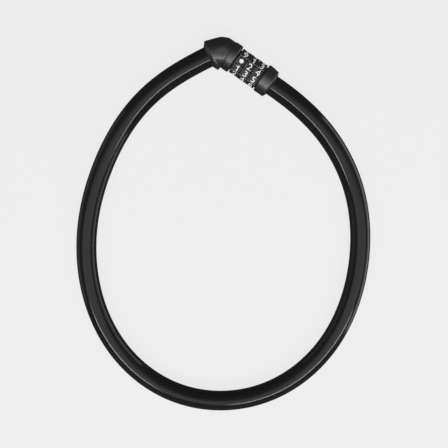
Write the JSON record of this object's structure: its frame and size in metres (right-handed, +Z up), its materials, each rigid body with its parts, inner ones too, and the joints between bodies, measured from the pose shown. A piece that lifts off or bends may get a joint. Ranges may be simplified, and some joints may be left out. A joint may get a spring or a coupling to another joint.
{
  "type": "cable combination lock",
  "caption": "Closed-loop cable lock: a thick sleeved cable whose elbow plug slides out of a combination barrel with numbered dials.",
  "frame": {"origin": "middle of the cable loop, on the surface that the closed lock lies on", "axes": "+X along the dial axis from the plug to the end cap, +Y from the middle of the loop out through the dials, +Z up from the surface"},
  "size_m": [0.19, 0.2051, 0.0172],
  "materials": {
    "black_plastic": "satin moulded plastic",
    "collar_plastic": "satin moulded plastic",
    "dial_plastic": "satin moulded plastic",
    "numeral_white": "white filled digits",
    "cable_sleeve": "glossy extruded PVC",
    "steel_rope": "laid steel rope",
    "steel": "turned steel",
    "spring_steel": "spring steel",
    "zinc": "bare zinc casting",
    "brass": "stamped brass",
    "dark_nylon": "dark nylon"
  },
  "bodies": {
    "lock_body": {"core_tube": "zinc", "front_ring": "dark_nylon", "rear_washer": "dark_nylon", "detent_spring": "spring_steel", "end_cap": "black_plastic", "cap_pin": "steel", "cap_ferrule": "steel", "cap_ferrule_pin": "steel", "ejector_spring": "spring_steel", "spring_cup": "brass", "cable_sleeve_fixed": "cable_sleeve", "cable_rope_fixed": "steel_rope"},
    "plug": {"elbow_housing": "black_plastic", "collar": "collar_plastic", "plug_core": "zinc", "locking_bolt": "steel", "bolt_pin": "steel", "head_pin": "steel", "plug_ferrule": "steel", "plug_ferrule_pin": "steel", "cable_sleeve_plug": "cable_sleeve", "cable_rope_plug": "steel_rope"},
    "dial_1": {"dial_ring_1": "dial_plastic", "tumbler_1": "brass"},
    "dial_2": {"dial_ring_2": "dial_plastic", "tumbler_2": "brass"},
    "dial_3": {"dial_ring_3": "dial_plastic", "tumbler_3": "brass"}
  },
  "joints": [
    {"name": "plug_slide", "type": "slide", "parent": "lock_body", "child": "plug", "axis": [-1, 0, 0], "range_m": [0, 0.022]},
    {"name": "dial_1_turn", "type": "hinge", "parent": "lock_body", "child": "dial_1", "pos_m": [-0.04595, 0.0843, 0.0086], "axis": [1, 0, 0], "continuous": true},
    {"name": "dial_2_turn", "type": "hinge", "parent": "lock_body", "child": "dial_2", "pos_m": [-0.04025, 0.0843, 0.0086], "axis": [1, 0, 0], "continuous": true},
    {"name": "dial_3_turn", "type": "hinge", "parent": "lock_body", "child": "dial_3", "pos_m": [-0.03455, 0.0843, 0.0086], "axis": [1, 0, 0], "continuous": true}
  ]
}
